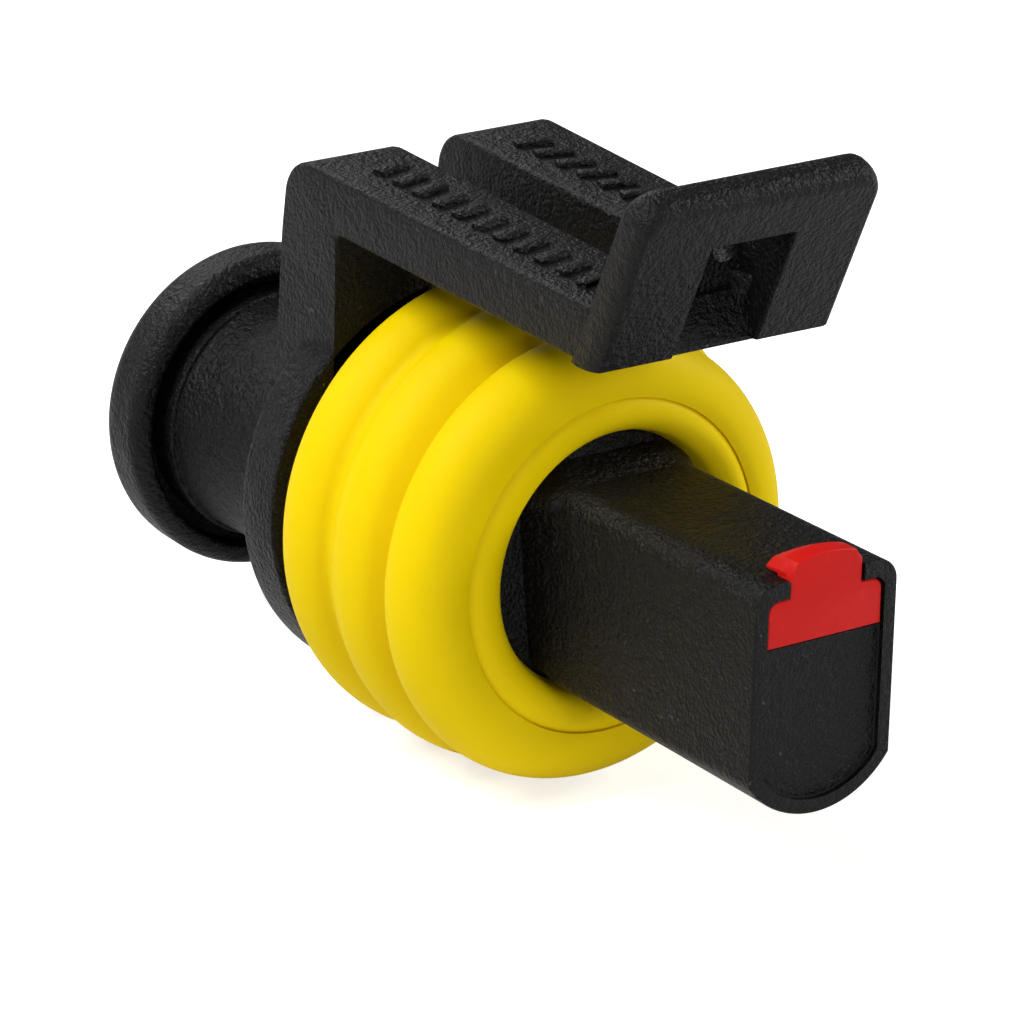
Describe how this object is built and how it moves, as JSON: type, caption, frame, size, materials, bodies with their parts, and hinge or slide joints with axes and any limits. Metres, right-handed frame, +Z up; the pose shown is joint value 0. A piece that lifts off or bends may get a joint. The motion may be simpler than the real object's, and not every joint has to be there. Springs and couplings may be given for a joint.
{
  "type": "sealed automotive connector",
  "caption": "Sealed one-way wire plug: round flanged body with a ribbed ring seal, a flexing catch over it and a red lock in the tip of its keyed nose.",
  "frame": {"origin": "on the ring seal's axis, in the flange's front face", "axes": "+X forward to the nose tip, +Y to the plug's left, +Z up to the latch"},
  "size_m": [0.0392, 0.0188, 0.0268],
  "materials": {
    "housing_plastic": "fine spark-eroded grain",
    "seal_silicone": "smooth satin silicone",
    "lock_plastic": "satin",
    "wire_seal_silicone": "smooth satin silicone",
    "tinned_strip": "bright tin plate"
  },
  "bodies": {
    "housing": {"housing": "housing_plastic", "interface_seal": "seal_silicone", "wire_seal": "wire_seal_silicone", "contact": "tinned_strip"},
    "latch": {"latch": "housing_plastic"},
    "secondary_lock": {"secondary_lock": "lock_plastic"}
  },
  "joints": [
    {"name": "latch_flex", "type": "hinge", "parent": "housing", "child": "latch", "pos_m": [-0.0035, 0, 0.009], "axis": [0, -1, 0], "range_deg": [0, 6], "stiffness_Nm_per_rad": 2},
    {"name": "lock_slide", "type": "slide", "parent": "housing", "child": "secondary_lock", "axis": [1, 0, 0], "range_m": [0, 0.0015]}
  ]
}
